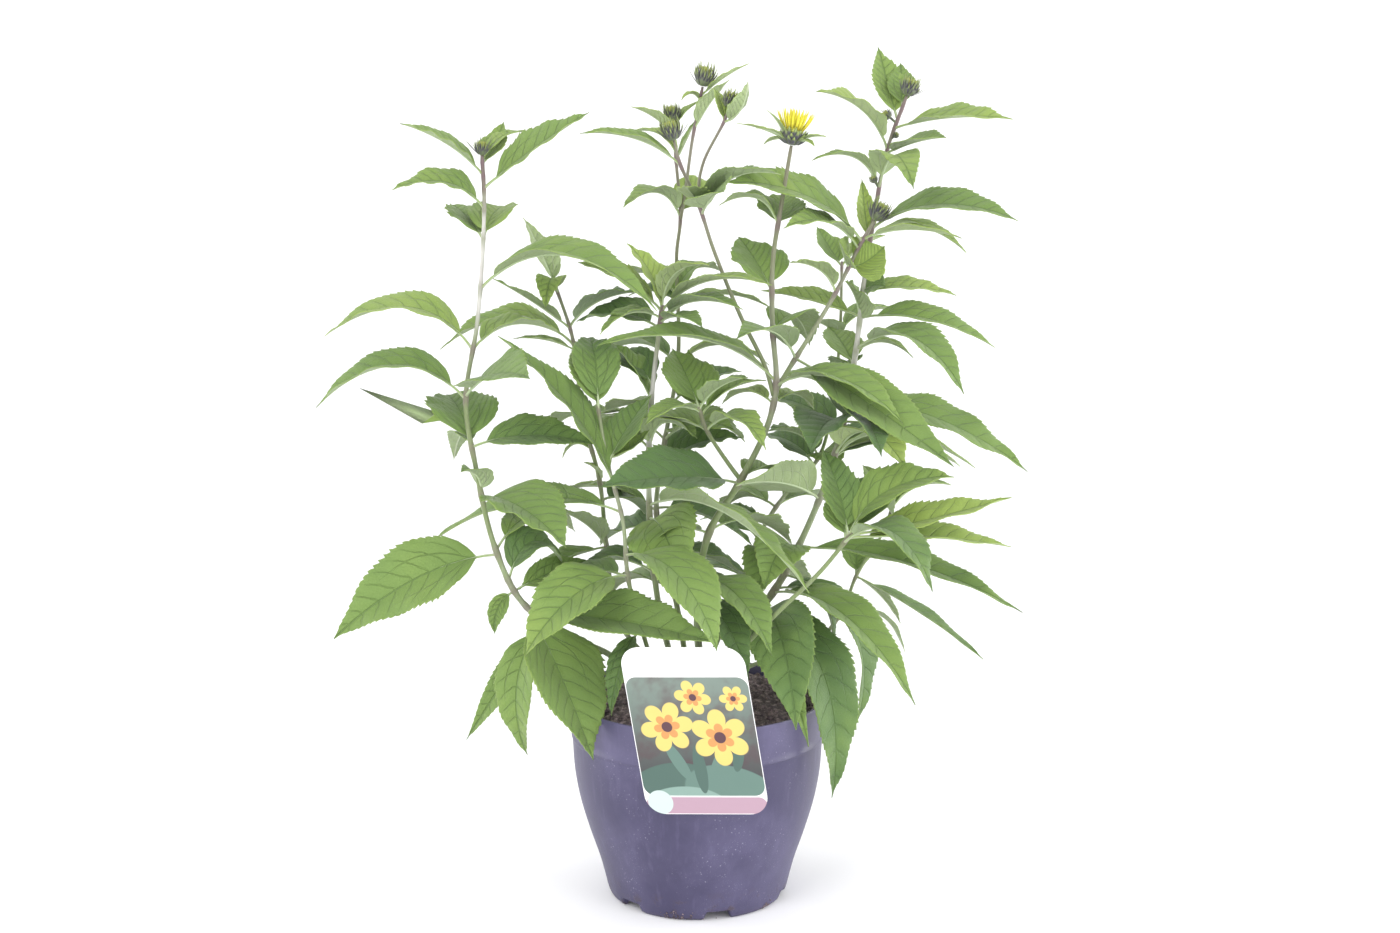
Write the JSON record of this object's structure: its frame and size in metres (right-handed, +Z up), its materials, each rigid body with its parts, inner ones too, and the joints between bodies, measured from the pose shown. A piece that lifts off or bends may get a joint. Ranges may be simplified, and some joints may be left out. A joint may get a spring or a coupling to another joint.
{
  "type": "potted sunflower plant",
  "caption": "Leafy perennial sunflower with closed buds and one opening yellow bloom, rooted in a filled plastic nursery pot with a folded plant label.",
  "frame": {"origin": "centre of the pot's flat underside, on the surface the pot stands on", "axes": "+Z up along the pot's axis, -Y towards the front of the plant where the label hangs, +X to its right seen from the front"},
  "size_m": [0.5325, 0.2673, 0.6462],
  "materials": {
    "pot_plastic": "matte, dusty violet-grey",
    "soil": "rough, crumbly, damp",
    "label_card": "semi-gloss printed card",
    "foliage": "satin leaf green with paler undersides",
    "bud_green": "satin dark green",
    "ray_yellow": "satin yellow"
  },
  "bodies": {
    "root": {"pot": "pot_plastic", "soil": "soil", "label": "label_card", "stem_far_left": "foliage", "stem_thin_left": "foliage", "stem_left_back": "foliage", "stem_pale_middle": "foliage", "stem_middle_back": "foliage", "stem_main": "foliage", "stem_right": "foliage", "stem_low_right": "foliage", "stem_thin_right": "foliage", "stem_back_right": "foliage", "bud_far_left": "bud_green", "bud_left": "bud_green", "bud_side_middle": "bud_green", "bud_top_middle": "bud_green", "bud_front_middle": "bud_green", "bud_branch_middle": "bud_green", "bud_low_right": "bud_green", "bud_top_right": "bud_green", "bloom_cup": "bud_green", "bloom_rays": "ray_yellow"}
  },
  "joints": []
}
